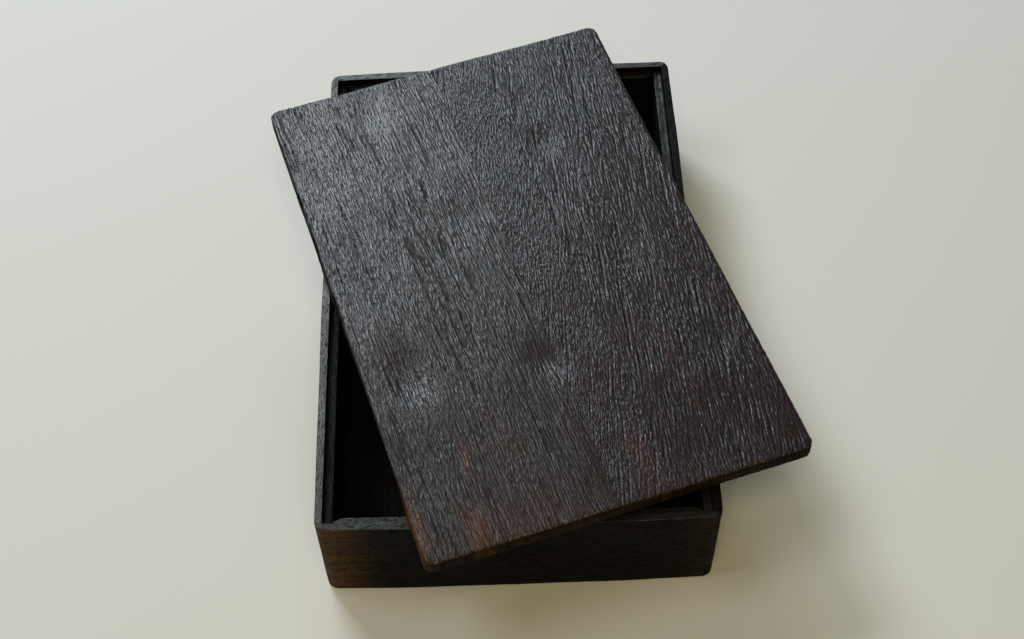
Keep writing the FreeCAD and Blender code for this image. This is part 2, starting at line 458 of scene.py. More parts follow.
# The front wall's left end is set highest: worn stain and painted light from the sunlit floor beside it.
WORN_AND_LIT_ENDS = {
    # at the left end and at the right end, seen from outside
    "front_wall": (1.0, 0.25),
    "right_wall": (0.25, 0.3),
    "back_wall": (0.1, 0.1),
    "left_wall": (0.35, 0.6),
}


def wall_lines(half_length, half_depth, crown):
    """The outer and the inner plan line of the wall at -Y, from its left mitre to its right one."""
    straight = half_length - CORNER_RADIUS
    along = np.linspace(-straight, straight, int(2 * straight / STATION_STEP))
    turn = np.linspace(0, math.pi / 4, EASE_STEPS + 2)[1:]
    corner_x = straight + CORNER_RADIUS * np.sin(turn)
    corner_y = CORNER_RADIUS * (1 - np.cos(turn))
    outer_x = np.concatenate([-corner_x[::-1], along, corner_x])
    lift = np.concatenate([corner_y[::-1], np.zeros(len(along)), corner_y])
    swell = crown * (1 - (outer_x / half_length) ** 2)
    outer = np.stack([outer_x, -half_depth - swell + lift], axis=1)
    inner_half = half_length - WALL_THICKNESS
    inner_x = outer_x * inner_half / outer_x[-1]
    inner = np.stack([inner_x, np.full(len(inner_x), -half_depth + WALL_THICKNESS)], axis=1)
    return outer, inner


def make_walls():
    """Four walls, each turned a quarter further. Glued and hidden surfaces aren't worked."""
    section = wall_section()
    worked = np.where(section[:, 1] > LEDGE_HEIGHT, 1.0, 0.0)
    worked[section[:, 0] < FOOT_EASE] = 1.0
    worked[section[:, 1] < HAIR] = 0.0
    pieces = {}
    for index, name in enumerate(WALLS):
        along, across = (0, 1) if index % 2 == 0 else (1, 0)
        outer, inner = wall_lines(BOX_HALF[along], BOX_HALF[across], CROWNS[across])
        pieces[name] = sweep_section(
            name + "_shaped", outer, inner, section, worked, index * math.pi / 2,
            WALL_SEED + SEED_STEP * index, WORN_AND_LIT_ENDS[name])
    return pieces


walls = make_walls()
print("walls", {name: len(piece.data.vertices) for name, piece in walls.items()})

# %% [markdown]
# ## The ledge
#
# The liners are thin boards inside the walls. The side ones run from wall to wall. The end ones fit
# between them, and their inner corners were pared off with a knife to let them in.

# %% liners
LINER_CLEARANCE = 0.1
LINER_GLUED = 0.5  # the strip of the ledge next to the wall, which nobody works
PARED_LENGTH = 3.2
PARED_DEPTH = 1.2
LINER_SEED = 150.0


def liner_lines(half_length, half_depth, pared):
    """The back and the face of the liner at -Y in plan, with its ends pared to a depth."""
    straight = np.linspace(-half_length, half_length, int(2 * half_length / STATION_STEP))
    back = np.stack([straight, np.full(len(straight), -half_depth)], axis=1)
    to_end = half_length - np.abs(straight)
    cut = pared * np.clip(1 - to_end / PARED_LENGTH, 0, 1)
    face = np.stack([straight, -half_depth + LINER_THICKNESS - cut], axis=1)
    return back, face


def make_liners():
    section = liner_section()
    worked = np.where((section[:, 1] > PANEL_TOP + HAIR) & (section[:, 0] > LINER_GLUED), 1.0, 0.0)
    pieces = {}
    for index, name in enumerate(LINERS):
        is_end = index % 2 == 0
        along, across = (0, 1) if is_end else (1, 0)
        room = LINER_THICKNESS if is_end else 0.0
        half_length = INSIDE_HALF[along] - room - LINER_CLEARANCE
        back, face = liner_lines(half_length, INSIDE_HALF[across], PARED_DEPTH if is_end else 0.0)
        pieces[name] = sweep_section(
            name + "_shaped", back, face, section, worked, index * math.pi / 2,
            LINER_SEED + SEED_STEP * index, worn_and_lit_ends=(0.0, 0.0))
    return pieces


liners = make_liners()
print("liners", {name: len(piece.data.vertices) for name, piece in liners.items()})

# %% [markdown]
# ## Where the gouge went
#
# The maker's gouge left shallow hollows in the lid, which show as a dark side and a light side when
# the window's light skims them. Each is a trough with a flat middle, steep sides and long gentle ends,
# because a gouge is pushed along the grain. The two very narrow ones are the glue lines, where the wood
# beside the glue has sunk. Places are measured from the lid's left and back edges, as with a ruler.
#
# The same kind of soft spot, kept as a number and not as a depth, marks where the stain has worn to
# brown or red: the front edge, the left front corner and a few patches that hands rub.

# %% hollows
HOLLOWS = (
    # from left, from back, half width, half length, turn in degrees, depth
    (16.2, 129.5, 6.0, 13.0, 5, 0.80),
    (61.5, 140.0, 5.4, 9.5, 22, 0.85),
    (91.0, 48.5, 5.0, 8.5, 22, 0.70),
    (35.5, 14.0, 5.4, 12.0, -8, 0.50),
    (115.0, 19.0, 8.0, 9.0, 0, 0.30),
    (57.0, 74.0, 7.0, 14.0, -10, 0.38),
    (103.0, 104.0, 6.5, 13.0, 0, 0.42),
    (116.0, 150.0, 6.0, 8.0, -35, 0.35),
    (124.0, 60.0, 9.0, 7.0, 25, 0.22),
    (47.0, 178.0, 10.0, 14.0, 30, 0.20),
    (64.0, 168.0, 1.8, 30.0, 0, 0.17),
    (84.0, 84.0, 1.2, 32.0, 0, 0.16),
)
print(len(HOLLOWS), "hollows, the deepest", max(row[-1] for row in HOLLOWS), "mm")

# %% worn patches
WARM_PATCHES = (
    # from left, from back, half width, half length, turn in degrees, strength
    (19.5, 192.0, 4.0, 11.0, 0, 0.90),
    (23.5, 167.0, 2.6, 11.0, -8, 0.80),
    (35.0, 190.0, 9.0, 9.0, 0, 0.25),
    (1.0, 184.0, 3.0, 20.0, 0, 0.85),
    (38.0, 166.0, 10.0, 18.0, 0, 0.25),
    (76.5, 181.0, 4.5, 16.0, 6, 0.60),
    (71.0, 157.0, 7.0, 9.0, 0, 0.35),
    (75.0, 138.0, 6.0, 16.0, 0, 0.25),
    (94.0, 137.0, 6.0, 10.0, -8, 0.40),
    (100.0, 147.0, 2.2, 10.0, 0, 0.65),
    (100.5, 172.0, 2.2, 13.0, -6, 0.40),
    (118.0, 170.0, 6.0, 10.0, 0, 0.25),
    (45.0, 66.0, 8.0, 20.0, 0, 0.12),
    (98.0, 66.0, 4.0, 6.0, 0, 0.20),
    (66.0, 198.0, 80.0, 12.0, 0, 0.32),
)
print(len(WARM_PATCHES), "warm patches")

# %% soft spots
SIDE_STEEPNESS = 3
END_GENTLENESS = 1.6


def soft_spots(x, y, spots):
    """The sum of some soft spots at points of the lid's own frame, with steep sides and gentle ends."""
    total = np.zeros_like(x)
    for from_left, from_back, wide, long, turn, most in spots:
        dx = x - (from_left - LID_HALF[0])
        dy = y - (LID_HALF[1] - from_back)
        cos, sin = math.cos(math.radians(turn)), math.sin(math.radians(turn))
        u = (dx * cos + dy * sin) / wide
        v = (dy * cos - dx * sin) / long
        total += most * np.exp(-np.abs(u) ** SIDE_STEEPNESS - END_GENTLENESS * v ** 2)
    return total


halfway = (math.exp(-0.5 ** SIDE_STEEPNESS), math.exp(-END_GENTLENESS * 0.5 ** 2))
print("halfway to its side and to its end, a hollow has this much of its depth", np.round(halfway, 2))

# %% [markdown]
# ## The lid's outline and edges
#
# The lid is one board with rounded corners once its parts are glued. Near an outer edge the lines of
# the grid close up and drop round the worn arris. At a glue line they drop only a hair, which draws the
# joint. The corners are made by moving grid points onto arcs, so that the grid never needs cutting.

# %% lid edges
LEFT_BOARD_WIDTH = 64.0
MIDDLE_BOARD_WIDTH = 19.0
LID_CORNER_RADIUS = 3.5
LID_TOP_EASE = 1.4
LID_UNDER_EASE = 0.7
JOINT_EASE = 0.06
NOTHING = 1e-9  # keeps a division from failing


def graded_line(start, end, step, start_ease, end_ease):
    """Positions from start to end, close together where an edge is rounded."""
    turn = np.linspace(0, math.pi / 2, EASE_STEPS + 1)
    head = start + start_ease * (1 - np.cos(turn))
    tail = end - (end_ease * (1 - np.cos(turn)))[::-1]
    middle = np.linspace(head[-1], tail[0], max(3, round((tail[0] - head[-1]) / step)))
    return np.concatenate([head, middle[1:-1], tail])


def edge_drop(distance, ease):
    """How far the surface has fallen at a distance from a rounded edge."""
    inside = np.clip(ease - distance, 0, ease)
    return ease - np.sqrt(ease ** 2 - inside ** 2)


def round_corners(x, y):
    """Move grid points in the lid's corners onto arcs. Returns them and their distance to the outline."""
    core = LID_HALF - LID_CORNER_RADIUS
    dx, dy = np.abs(x) - core[0], np.abs(y) - core[1]
    corner = (dx > 0) & (dy > 0)
    reach = np.maximum(dx, dy)
    squeeze = np.where(corner, reach / np.maximum(np.hypot(dx, dy), NOTHING), 1.0)
    new_x = np.where(corner, np.sign(x) * (core[0] + dx * squeeze), x)
    new_y = np.where(corner, np.sign(y) * (core[1] + dy * squeeze), y)
    return new_x, new_y, LID_CORNER_RADIUS - reach


def outline_direction(x, y):
    """Which way the lid's outline faces next to points near it, and nothing further in."""
    core = LID_HALF - LID_CORNER_RADIUS
    past = np.stack([np.abs(x) - core[0], np.abs(y) - core[1]], axis=-1).clip(0, None)
    past = past * np.stack([np.sign(x), np.sign(y)], axis=-1)
    return past / np.maximum(np.linalg.norm(past, axis=-1, keepdims=True), NOTHING)


print("the lid's edge is round for", LID_TOP_EASE, "mm above and", LID_UNDER_EASE, "mm below")

# %% [markdown]
# ## The top of a lid board
#
# Each board is a fine grid over its part of the lid's top, with long narrow faces, because the ridges
# that it has to carry are long and narrow too. The hollows are pressed into it and fade out before the
# edge. They could be sculpted, but numbers put each one where a ruler found it, and can be changed.
# Two triangles to a face keep a board under 200,000.

# %% lid board top
GRID_FACES = 76000
GRID_STRETCH = 5.0  # how many times as long as wide a face is
HOLLOW_MARGIN = 4.0
HOLLOW_AT_EDGE = 0.15
STEEPEST = 0.98
FAR = 99.0  # further off than any rounded edge reaches


def board_top(start, end):
    """The top of the board between two places across the lid: its points and directions, the grid of
    their numbers, and how far each is from the lid's outline."""
    at_left = start <= -LID_HALF[0] + HAIR
    at_right = end >= LID_HALF[0] - HAIR
    left_ease = LID_TOP_EASE if at_left else JOINT_EASE
    right_ease = LID_TOP_EASE if at_right else JOINT_EASE
    step = math.sqrt((end - start) * 2 * LID_HALF[1] / GRID_FACES / GRID_STRETCH)
    columns = graded_line(start, end, step, left_ease, right_ease)
    rows = graded_line(-LID_HALF[1], LID_HALF[1], step * GRID_STRETCH, LID_TOP_EASE, LID_TOP_EASE)
    grid_x, grid_y = np.meshgrid(columns, rows)

    x, y, to_edge = round_corners(grid_x, grid_y)
    to_joint = np.minimum(FAR if at_left else grid_x - start, FAR if at_right else end - grid_x)
    fade = np.clip(to_edge / HOLLOW_MARGIN, HOLLOW_AT_EDGE, 1)
    height = LID_THICKNESS - edge_drop(to_edge, LID_TOP_EASE) - edge_drop(to_joint, JOINT_EASE)
    height = height - soft_spots(x, y, HOLLOWS) * fade
    steep = np.clip((LID_TOP_EASE - to_edge) / LID_TOP_EASE, 0, 1)
    side = outline_direction(x, y) * steep[..., None]
    rise = np.sqrt(1 - np.minimum(steep, STEEPEST) ** 2)
    points = np.stack([x, y, height], axis=-1).reshape(-1, 3)
    outward = np.concatenate([side, rise[..., None]], axis=-1).reshape(-1, 3)
    numbers = np.arange(x.size).reshape(x.shape)
    return points, outward, numbers, to_edge.reshape(-1)


print("about", GRID_FACES, "faces in a board's top, each", GRID_STRETCH, "times as long as wide")

# %% [markdown]
# ## A whole lid board
#
# The rim of the grid is carried down the sides and round under, ring by ring, and a flat face closes
# it. The grain runs over the arris with it: down the long sides it goes on as it was, and down the
# sawn ends it is squeezed, so that the pores there turn into dots.

# %% sides of a lid board
SIDE_STEPS = 8
END_GRAIN = 5.0  # how many times the pores are squeezed at a sawn end


def skirt_levels():
    """Each ring down a board's side: how far inside the outline it lies, and its height."""
    heights = np.linspace(LID_THICKNESS - LID_TOP_EASE, LID_UNDER_EASE, SIDE_STEPS)[1:]
    levels = [(0.0, height) for height in heights]
    for turn in np.linspace(0, math.pi / 2, EASE_STEPS + 1)[1:]:
        levels.append((LID_UNDER_EASE * (1 - math.cos(turn)), LID_UNDER_EASE * (1 - math.sin(turn))))
    return levels


def board_grain(points, seed):
    """Grain places that run over the arris and down the sides. Pores are dots at the sawn ends."""
    fallen = LID_THICKNESS - points[:, 2]
    facing = outline_direction(points[:, 0], points[:, 1])
    across = points[:, 0] + facing[:, 0] * fallen
    along = points[:, 1] + facing[:, 1] * fallen * END_GRAIN
    return np.stack([across, along, np.full_like(across, seed)], axis=-1)


print("a board's side has", len(skirt_levels()), "rings")

# %% lid board
ON_OUTLINE = 1e-6


def lid_board(name, start, end, seed):
    """One board of the lid, in the lid's own frame, square to its axes with its underside at height 0."""
    top, top_outward, numbers, to_edge = board_top(start, end)
    corners = [numbers[:-1, :-1], numbers[:-1, 1:], numbers[1:, 1:], numbers[1:, :-1]]
    faces = np.stack([corner.reshape(-1) for corner in corners], axis=-1).tolist()
    points, outward = [top], [top_outward]

    rim = np.concatenate([numbers[0, :-1], numbers[:-1, -1], numbers[-1, :0:-1], numbers[:0:-1, 0]])
    rim_points = top[rim]
    on_outline = (to_edge[rim] < ON_OUTLINE)[:, None]
    normals = np.where(on_outline, outline_direction(rim_points[:, 0], rim_points[:, 1]), 0.0)
    above, count = rim, len(top)
    for inset, height in skirt_levels():
        ring = rim_points.copy()
        ring[:, :2] -= normals * inset
        ring[:, 1] = np.clip(ring[:, 1], -LID_HALF[1] + inset, LID_HALF[1] - inset)
        ring[:, 2] = height
        below = np.arange(count, count + len(rim))
        faces += np.stack([above, below, np.roll(below, -1), np.roll(above, -1)], axis=-1).tolist()
        points.append(ring)
        outward.append(np.concatenate([normals, np.zeros((len(rim), 1))], axis=-1) * (height > HAIR))
        above, count = below, count + len(rim)
    faces.append(above.tolist())

    points, outward = np.concatenate(points), np.concatenate(outward)
    warm = soft_spots(points[:, 0], points[:, 1], WARM_PATCHES)
    return make_piece(name, points, faces, outward, board_grain(points, seed), warm)


print("a point is on the outline when it is closer to it than", ON_OUTLINE, "mm")

# %% the three boards
LID_SEED = 11.0
LID_SEED_STEP = 13.0


def make_lid_boards():
    right_board_width = 2 * LID_HALF[0] - LEFT_BOARD_WIDTH - MIDDLE_BOARD_WIDTH
    widths = (LEFT_BOARD_WIDTH, MIDDLE_BOARD_WIDTH, right_board_width)
    start = -LID_HALF[0]
    pieces = {}
    for index, (name, width) in enumerate(zip(LID_BOARDS, widths)):
        seed = LID_SEED + LID_SEED_STEP * index
        pieces[name] = lid_board(name + "_brushed", start, start + width, seed)
        start += width
    return pieces


lid_boards = make_lid_boards()
print("lid boards", {name: len(piece.data.polygons) for name, piece in lid_boards.items()})

# %% [markdown]
# ## Raised grain
#
# Hard wire brushing takes the soft wood away and leaves the hard fibres standing as short broken
# ridges, about half a millimetre apart. Where the fibres lie straight the ridges are long, and where
# they cross each other they break into crumbs of a millimetre. Between them run thin dark furrows a few
# centimetres long, where a line of pores or a soft year ring has gone altogether. A plane leaves
# something else: low waves, as broad as its iron.
#
# All of it follows a rule, so Geometry Nodes make it, with one tree for brushed and planed pieces.
# The rule is noise that is drawn out along the grain. Blender's noise is mostly 0.3 to 0.7, so each
# pattern says which part of that it spreads out. The points move only inwards, so a board never grows
# past its size. A bump map would be quicker, but the ridges catch the window's light at a low
# angle, and that is what the eye reads as old brushed wood. So they are real shape here.

# %% inputs of the raised grain
GRAIN_INPUTS = {
    # Heights, depths, spacings, lengths and sizes are in millimetres, and the slant is in radians.
    "Ridge Height": 0.24, "Ridge Spacing": 0.52, "Ridge Length": 8.0,
    # How long a crumb is, and the share of the ridges that is broken into crumbs.
    "Crumb Length": 0.9, "Crumbs": 0.52,
    # A piece has furrows only where it asks for them.
    "Furrow Depth": 0.0,
    # How far the ridges lean from the board's length, and how far they stray to the side.
    "Slant": 0.0, "Wander": 3.0,
    # The height that is left where the brush only passed lightly, as a share.
    "Smooth Places": 0.6,
    "Wave Depth": 0.2, "Wave Size": 26.0,
}
print("inputs", ", ".join(GRAIN_INPUTS))

# %% noise along the grain
NOISE_ROUGHNESS = 0.55


def drawn_out_noise(tree, line, grain, wide, long, own, detail=1.0):
    """Noise whose spots are wide and long millimetres in size.

    line is the place across the grain and grain the outputs of the split "grain" attribute. own is a
    number that makes this noise unlike the others."""
    place = add_node(tree, "ShaderNodeCombineXYZ", None, {
        "X": add_node(tree, "ShaderNodeMath", DIVIDE, {0: line, 1: wide}),
        "Y": add_node(tree, "ShaderNodeMath", DIVIDE, {0: grain["Y"], 1: long}),
        "Z": add_node(tree, "ShaderNodeMath", ADD, {0: grain["Z"], 1: own})})
    return add_node(tree, "ShaderNodeTexNoise", None, {
        "Vector": place, "Scale": 1.0, "Detail": detail, "Roughness": NOISE_ROUGHNESS})


print("roughness of the noise", NOISE_ROUGHNESS)

# %% the course of the ridges
DRIFT_SIZE = (24.0, 34.0)


def ridge_course(tree, given, grain):
    """The place across the grain, followed along ridges that lean and stray."""
    slope = add_node(tree, "ShaderNodeMath", {"operation": "TANGENT"}, {0: given["Slant"]})
    lean = add_node(tree, "ShaderNodeMath", MULTIPLY, {0: grain["Y"], 1: slope})
    drift = drawn_out_noise(tree, grain["X"], grain, *DRIFT_SIZE, own=0.0)
    centred = add_node(tree, "ShaderNodeMath", SUBTRACT, {0: drift, 1: 0.5})
    strayed = add_node(tree, "ShaderNodeMath", MULTIPLY, {0: centred, 1: given["Wander"]})
    leaning = add_node(tree, "ShaderNodeMath", SUBTRACT, {0: grain["X"], 1: lean})
    return add_node(tree, "ShaderNodeMath", ADD, {0: leaning, 1: strayed})


print("ridges stray over", DRIFT_SIZE[1], "mm of their length")

# %% ridges and crumbs
RIDGE_EDGE = {"From Min": 0.42, "From Max": 0.58}
BROAD_SHARE = 0.45
NARROW_SHARE = 0.55
NARROW_SPACING = 0.66  # of a broad ridge's spacing
NARROW_LENGTH = 0.4  # of a broad ridge's length
CRUMB_SPACING = 0.9  # of a broad ridge's spacing
ZONE_SIZE = (12.0, 22.0)
ZONE_EDGE = {"From Min": 0.36, "From Max": 0.64, "To Min": -0.3, "To Max": 0.3}


def ridge_pattern(tree, given, grain, course):
    """1 on a ridge or a crumb and 0 between them. Broad and narrow ridges run through each other."""
    spacing, length = given["Ridge Spacing"], given["Ridge Length"]
    narrow_spacing = add_node(tree, "ShaderNodeMath", MULTIPLY, {0: spacing, 1: NARROW_SPACING})
    narrow_length = add_node(tree, "ShaderNodeMath", MULTIPLY, {0: length, 1: NARROW_LENGTH})
    crumb_spacing = add_node(tree, "ShaderNodeMath", MULTIPLY, {0: spacing, 1: CRUMB_SPACING})
    noises = (
        drawn_out_noise(tree, course, grain, spacing, length, own=0.0),
        drawn_out_noise(tree, course, grain, narrow_spacing, narrow_length, own=4.3),
        drawn_out_noise(tree, course, grain, crumb_spacing, given["Crumb Length"], own=7.7))
    broad, narrow, crumbs = [
        add_node(tree, "ShaderNodeMapRange", SMOOTH, {"Value": noise, **RIDGE_EDGE}) for noise in noises]
    broad_part = add_node(tree, "ShaderNodeMath", MULTIPLY, {0: broad, 1: BROAD_SHARE})
    narrow_part = add_node(tree, "ShaderNodeMath", MULTIPLY, {0: narrow, 1: NARROW_SHARE})
    ridges = add_node(tree, "ShaderNodeMath", ADD, {0: broad_part, 1: narrow_part})

    zones = drawn_out_noise(tree, grain["X"], grain, *ZONE_SIZE, own=8.6)
    more_or_less = add_node(tree, "ShaderNodeMapRange", SMOOTH, {"Value": zones, **ZONE_EDGE})
    crumbled = add_node(tree, "ShaderNodeMath", ADD, {0: more_or_less, 1: given["Crumbs"]})
    change = add_node(tree, "ShaderNodeMath", SUBTRACT, {0: crumbs, 1: ridges})
    change = add_node(tree, "ShaderNodeMath", MULTIPLY, {0: change, 1: crumbled})
    return add_node(tree, "ShaderNodeMath", ADD, {0: ridges, 1: change})


print("share of the height: broad ridges", BROAD_SHARE, "narrow ridges", NARROW_SHARE)

# %% smooth places and furrows
BRUSHED_SIZE = (14.0, 26.0)
BRUSHED_EDGE = {"From Min": 0.38, "From Max": 0.60, "To Max": 1.0}
FURROW_SIZE = (0.95, 26.0)
FURROW_EDGE = {"From Min": 0.33, "From Max": 0.41, "To Min": 1.0, "To Max": 0.0}
BUNDLE_SIZE = (13.0, 50.0)
BUNDLE_EDGE = {"From Min": 0.45, "From Max": 0.57, "To Min": 0.15, "To Max": 1.0}


def brushed_away(tree, given, grain, ridges):
    """How much wood the brush took, as a share of the ridges' height. It took less in some places."""
    strokes = drawn_out_noise(tree, grain["X"], grain, *BRUSHED_SIZE, own=5.5)
    brushed = add_node(tree, "ShaderNodeMapRange", SMOOTH, {
        "Value": strokes, **BRUSHED_EDGE, "To Min": given["Smooth Places"]})
    between = add_node(tree, "ShaderNodeMath", SUBTRACT, {0: 1.0, 1: ridges})
    return add_node(tree, "ShaderNodeMath", MULTIPLY, {0: between, 1: brushed})


def furrow_pattern(tree, grain, course):
    """1 in a furrow and 0 beside it. Furrows come in bundles, as soft year rings do."""
    lines = drawn_out_noise(tree, course, grain, *FURROW_SIZE, own=12.4)
    thin = add_node(tree, "ShaderNodeMapRange", SMOOTH, {"Value": lines, **FURROW_EDGE})
    bundles = drawn_out_noise(tree, grain["X"], grain, *BUNDLE_SIZE, own=15.2)
    bundled = add_node(tree, "ShaderNodeMapRange", SMOOTH, {"Value": bundles, **BUNDLE_EDGE})
    return add_node(tree, "ShaderNodeMath", MULTIPLY, {0: thin, 1: bundled})


print("furrows are", FURROW_SIZE[1], "mm long and come in bundles", BUNDLE_SIZE[0], "mm wide")

# %% plane waves
WAVE_EDGE = {"From Min": 0.25, "From Max": 0.75}


def plane_waves(tree, given, grain):
    """How deep the plane went, in millimetres: low waves, as broad as they are long."""
    size = given["Wave Size"]
    waves = drawn_out_noise(tree, grain["X"], grain, size, size, own=2.1, detail=0.0)
    shape = add_node(tree, "ShaderNodeMapRange", SMOOTH, {"Value": waves, **WAVE_EDGE})
    return add_node(tree, "ShaderNodeMath", MULTIPLY, {0: shape, 1: given["Wave Depth"]})


print("a plane's wave is", GRAIN_INPUTS["Wave Size"], "mm across")

# %% [markdown]
# ## The tree that works a surface
#
# The tree reads where each point lies along the grain and which way it faces, adds up what the brush,
# the furrows and the plane take away, and moves the point that far inwards. It keeps the pattern as
# "relief", so that the material knows what is high and what is low. Faces that look up get the top's
# material and the others get the sides'. These are lit and shaded copies of one wood: the top's is
# lighter and glossier, partly the hands' polish and partly painted light where the window reaches, and
# the sides' is near black, partly painted shade.

# %% sockets of the tree


def empty_grain_tree():
    """A tree with the named inputs of the raised grain and nothing in it yet."""
    tree = bpy.data.node_groups.new("raised grain", "GeometryNodeTree")
    tree.interface.new_socket("Geometry", in_out="INPUT", socket_type="NodeSocketGeometry")
    for name, value in GRAIN_INPUTS.items():
        socket = tree.interface.new_socket(name, in_out="INPUT", socket_type="NodeSocketFloat")
        socket.default_value = value
    for name in ("Material", "Side Material"):
        tree.interface.new_socket(name, in_out="INPUT", socket_type="NodeSocketMaterial")
    tree.interface.new_socket("Geometry", in_out="OUTPUT", socket_type="NodeSocketGeometry")
    return tree


grain_tree = empty_grain_tree()
print("tree", grain_tree.name, "with", len(grain_tree.interface.items_tree), "sockets")

# %% raised grain tree
FACES_UP = 0.45  # the upward share of a direction, past which a face belongs to the top


def fill_grain_tree(tree):
    """The nodes between the tree's inputs and its output."""
    given = add_node(tree, "NodeGroupInput").outputs
    vector = {"data_type": "FLOAT_VECTOR"}
    grain, outward = [
        add_node(tree, "GeometryNodeInputNamedAttribute", vector, {"Name": name}).outputs["Attribute"]
        for name in ("grain", "outward")]
    grain = add_node(tree, "ShaderNodeSeparateXYZ", None, {"Vector": grain}).outputs
    course = ridge_course(tree, given, grain)
    ridges = ridge_pattern(tree, given, grain, course)
    worn_away = brushed_away(tree, given, grain, ridges)
    furrows = furrow_pattern(tree, grain, course)
    planed = plane_waves(tree, given, grain)

    brush_depth = add_node(tree, "ShaderNodeMath", MULTIPLY, {0: worn_away, 1: given["Ridge Height"]})
    furrow_depth = add_node(tree, "ShaderNodeMath", MULTIPLY, {0: furrows, 1: given["Furrow Depth"]})
    depth = add_node(tree, "ShaderNodeMath", ADD, {0: brush_depth, 1: planed})
    depth = add_node(tree, "ShaderNodeMath", ADD, {0: depth, 1: furrow_depth})
    inwards = add_node(tree, "ShaderNodeMath", MULTIPLY, {0: depth, 1: -MM})
    offset = add_node(tree, "ShaderNodeVectorMath", {"operation": "SCALE"}, {
        "Vector": outward, "Scale": inwards})
    low = add_node(tree, "ShaderNodeMath", {"operation": "MAXIMUM"}, {0: worn_away, 1: furrows})
    relief = add_node(tree, "ShaderNodeMath", SUBTRACT, {0: 1.0, 1: low})

    moved = add_node(tree, "GeometryNodeSetPosition", None, {
        "Geometry": given["Geometry"], "Offset": offset})
    on_points = {"data_type": "FLOAT", "domain": "POINT"}
    kept = add_node(tree, "GeometryNodeStoreNamedAttribute", on_points, {
        "Geometry": moved, "Name": "relief", "Value": relief})
    real = add_node(tree, "GeometryNodeRealizeInstances", None, {"Geometry": kept})
    # Sides get the near-black wood, partly painted shade, and faces that look up get the lighter one,
    # partly painted light.
    sides = add_node(tree, "GeometryNodeSetMaterial", None, {
        "Geometry": real, "Material": given["Side Material"]})
    upward = add_node(tree, "ShaderNodeSeparateXYZ", None, {"Vector": outward}).outputs["Z"]
    is_top = add_node(tree, "ShaderNodeMath", {"operation": "GREATER_THAN"}, {0: upward, 1: FACES_UP})
    finished = add_node(tree, "GeometryNodeSetMaterial", None, {
        "Geometry": sides, "Material": given["Material"], "Selection": is_top})
    add_node(tree, "NodeGroupOutput", None, {"Geometry": finished})


fill_grain_tree(grain_tree)
print("tree", grain_tree.name, "with", len(grain_tree.nodes), "nodes")

# %% work a surface


def work_surface(piece, tree, values):
    """Run a node tree on a piece and keep the plain mesh that comes out.

    values has an input's name and what it is set to."""
    modifier = piece.modifiers.new("worked", "NODES")
    modifier.node_group = tree
    for item in tree.interface.items_tree:
        if item.in_out == "INPUT" and item.name in values:
            modifier[item.identifier] = values[item.name]
    graph = bpy.context.evaluated_depsgraph_get()
    mesh = bpy.data.meshes.new_from_object(
        piece.evaluated_get(graph), preserve_all_data_layers=True, depsgraph=graph)
    piece.modifiers.remove(modifier)
    plain = piece.data
    piece.data = mesh
    bpy.data.meshes.remove(plain)


ridge_height = next(item for item in grain_tree.interface.items_tree if item.name == "Ridge Height")
print("a modifier knows the input", ridge_height.name, "as", ridge_height.identifier)

# %% [markdown]
# ## Stained, brushed and wiped wood
#
# The wood is a dark open-pored hardwood, such as walnut, stained nearly black and wiped with a thin
# coat of lacquer. The stain stays in the low places and wears thin on the ridges, where a little warm
# brown shows. The lacquer is a satin skin, glossier on the rubbed ridges and duller in the valleys.
#
# Walnut's pores are 0.1 to 0.2 mm wide and a few millimetres long, and show as short dark dashes. They
# are drawn 0.24 mm wide, a little under a pixel of the picture, so that they show at all. Its fibres are
# far too fine to see and are drawn as coarse as the pores, as bundles that roughen the skin a little.
#
# A picture of wood would be quicker, but it would bring its own light and repeat itself, and noise in
# the wood's own measures fits every board. A piece made here reads its own "grain" and "relief". A
# piece kept from the model has neither, so its pattern comes from its place in the object, turned by a
# Mapping node to run along the board.

# %% sizes in the wood
PORE_SIZE = (0.24, 2.4)  # across the grain and along it, in millimetres
PORE_EDGE = {"From Min": 0.57, "From Max": 0.65}
PORE_COLOUR = "#060403"
PORE_DARKNESS = 0.75
PORE_DULLNESS = 0.35
FIBRE_SIZE = (0.26, 1.3)
FIBRE_HEIGHT = 0.5  # of a pore's depth
PORE_DEPTH = 0.18
STREAK_SIZE = (2.6, 38.0)
STREAK_EDGE = {"From Min": 0.38, "From Max": 0.62}
PLAIN_RELIEF_SIZE = (0.9, 7.0)
PLAIN_RELIEF_EDGE = {"From Min": 0.36, "From Max": 0.64}
RELIEF_SHARE = 0.6  # of how much stain is rubbed off, with streaks as the rest
STREAK_SHARE = 0.4
STREAK_FLOOR = 0.6  # how warm the dark streaks of a worn patch still are
LACQUER_IOR = 1.5
print("pores", PORE_SIZE, "fibres", FIBRE_SIZE, "streaks", STREAK_SIZE)

# %% patterns in the wood


def wood_noise(tree, place, size, own, detail=1.0):
    """Noise whose spots have a size across the grain and along it, in millimetres."""
    wide, long = size
    spot = add_node(tree, "ShaderNodeMapping", None, {
        "Vector": place, "Location": (own, own, own), "Scale": (1 / wide, 1 / long, 1 / wide)})
    return add_node(tree, "ShaderNodeTexNoise", None, {"Vector": spot, "Scale": 1.0, "Detail": detail})


